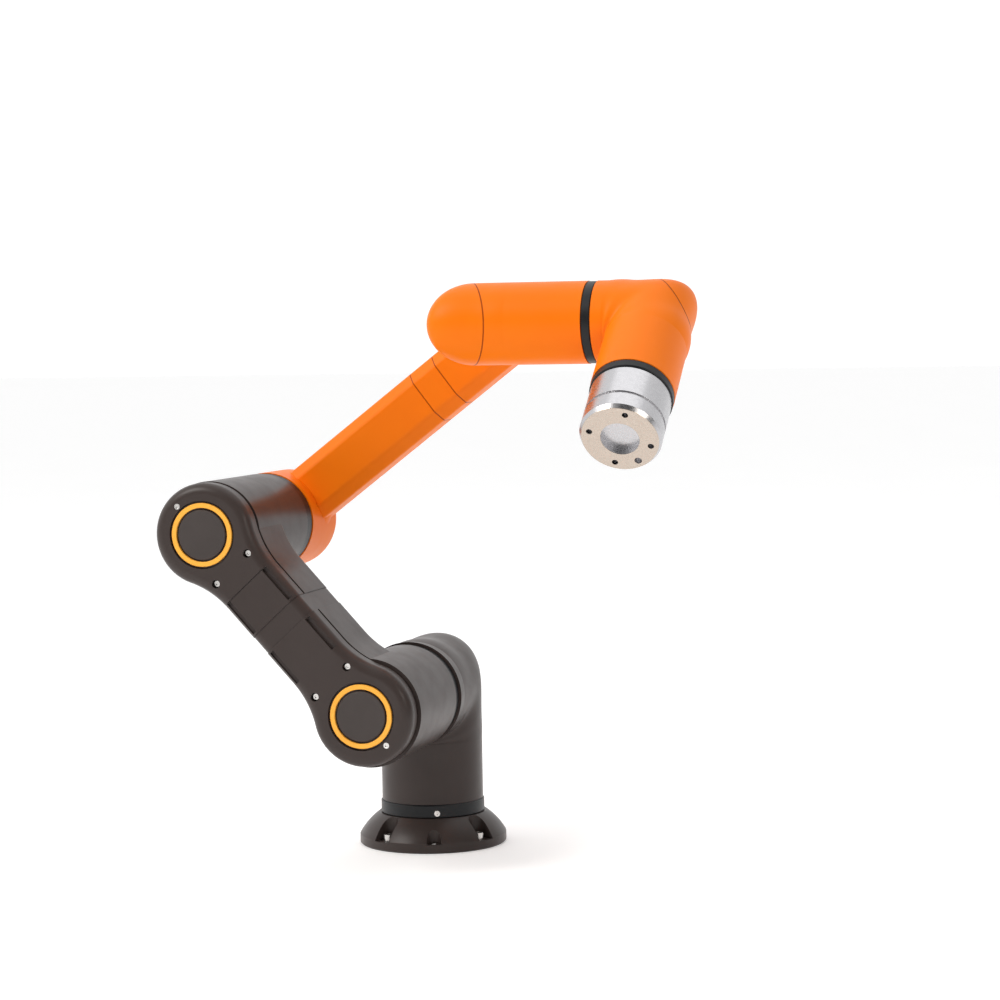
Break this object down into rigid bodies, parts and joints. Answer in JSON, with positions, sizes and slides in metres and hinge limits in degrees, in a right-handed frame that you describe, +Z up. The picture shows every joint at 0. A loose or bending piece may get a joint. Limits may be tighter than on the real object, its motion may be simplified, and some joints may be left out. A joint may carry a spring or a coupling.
{
  "type": "collaborative robot arm",
  "caption": "Six-joint collaborative robot arm with a bolted round base, ring-lit upper arm, slim forearm and a round ISO tool flange.",
  "frame": {"origin": "centre of the base's mounting face, on joint 1's axis", "axes": "+Z up along joint 1; joints 2, 3 and 4 are parallel to Y; the upper arm's two ring-lit faces look along -Y and the wrist is held out to +X"},
  "size_m": [0.4647, 0.3621, 0.5173],
  "materials": {
    "dark_casting": "satin charcoal paint on cast aluminium",
    "dark_cap": "matte charcoal plastic",
    "orange_casting": "satin orange paint on cast aluminium",
    "orange_cap": "satin orange paint on cast aluminium",
    "ring_plastic": "amber light guide",
    "seal_rubber": "black rubber",
    "machined_aluminium": "turned, bare",
    "wire_sleeve": "braided sleeve",
    "circuit_board": "green laminate with chips",
    "socket_plastic": "black moulding",
    "motor_body": "anodised can with windings",
    "gear_steel": "ground steel",
    "bright_steel": "zinc-plated",
    "dark_steel": "black oxide"
  },
  "bodies": {
    "base": {"base_flange": "dark_casting", "base_bottom_plate": "dark_casting", "base_mounting_bolts": "bright_steel", "base_locating_pin": "bright_steel", "base_cable_socket": "socket_plastic", "base_ring_screw": "bright_steel", "joint_1_seal_ring": "seal_rubber", "joint_1_output_hub": "machined_aluminium"},
    "shoulder": {"shoulder_housing": "dark_casting", "shoulder_lock_screw": "dark_steel", "joint_1_gear_unit": "gear_steel", "joint_1_motor": "motor_body", "joint_1_drive_board": "circuit_board", "joint_2_gear_unit": "gear_steel", "joint_2_motor": "motor_body", "joint_2_drive_board": "circuit_board", "joint_2_seal_ring": "seal_rubber"},
    "upper_arm": {"joint_2_output_hub": "machined_aluminium", "upper_arm_lower_casting": "dark_casting", "upper_arm_upper_casting": "dark_casting", "upper_arm_mid_band": "dark_casting", "upper_arm_lower_cover": "dark_casting", "upper_arm_upper_cover": "dark_casting", "upper_arm_cover_gaskets": "seal_rubber", "upper_arm_cover_screws": "bright_steel", "upper_arm_light_rings": "ring_plastic", "joint_2_cap_disc": "dark_cap", "joint_3_cap_disc": "dark_cap", "joint_3_gear_unit": "gear_steel", "joint_3_motor": "motor_body", "joint_3_drive_board": "circuit_board", "joint_3_seal_ring": "seal_rubber", "upper_arm_wiring": "wire_sleeve"},
    "forearm": {"joint_3_output_hub": "machined_aluminium", "forearm_casting": "orange_casting", "elbow_rear_cap": "orange_cap", "forearm_collar": "orange_casting", "forearm_wrist_housing": "orange_casting", "forearm_wrist_cap": "orange_cap", "joint_4_gear_unit": "gear_steel", "joint_4_motor": "motor_body", "joint_4_drive_board": "circuit_board", "joint_4_seal_ring": "seal_rubber", "forearm_wiring": "wire_sleeve"},
    "wrist_one": {"joint_4_output_hub": "machined_aluminium", "wrist_one_housing": "orange_casting", "wrist_one_cap": "orange_cap", "joint_5_gear_unit": "gear_steel", "joint_5_motor": "motor_body", "joint_5_drive_board": "circuit_board", "joint_5_seal_ring": "seal_rubber"},
    "wrist_two": {"joint_5_output_hub": "machined_aluminium", "wrist_two_housing": "orange_casting", "wrist_two_cap": "orange_cap", "joint_6_gear_unit": "gear_steel", "joint_6_motor": "motor_body", "joint_6_drive_board": "circuit_board", "joint_6_seal_ring": "seal_rubber"},
    "tool_head": {"joint_6_output_hub": "machined_aluminium", "tool_flange": "machined_aluminium"}
  },
  "joints": [
    {"name": "joint_1", "type": "hinge", "parent": "base", "child": "shoulder", "pos_m": [0, 0, 0], "axis": [0, 0, 1], "range_deg": [-175, 175]},
    {"name": "joint_2", "type": "hinge", "parent": "shoulder", "child": "upper_arm", "pos_m": [0, 0, 0.142], "axis": [0, 1, 0], "range_deg": [-67.6, 152.4]},
    {"name": "joint_3", "type": "hinge", "parent": "upper_arm", "child": "forearm", "pos_m": [-0.13958, 0, 0.29486], "axis": [0, -1, 0], "range_deg": [-39.9, 230.1]},
    {"name": "joint_4", "type": "hinge", "parent": "forearm", "child": "wrist_one", "pos_m": [0.09031, 0, 0.46999], "axis": [0, 1, 0], "range_deg": [-187.3, 112.7]},
    {"name": "joint_5", "type": "hinge", "parent": "wrist_one", "child": "wrist_two", "pos_m": [0.09031, -0.1544, 0.46999], "axis": [1, 0, 0], "range_deg": [-212.1, 137.9]},
    {"name": "joint_6", "type": "hinge", "parent": "wrist_two", "child": "tool_head", "pos_m": [0.24451, -0.1544, 0.46999], "axis": [0, -0.7976, -0.6032], "range_deg": [-175, 175]}
  ]
}
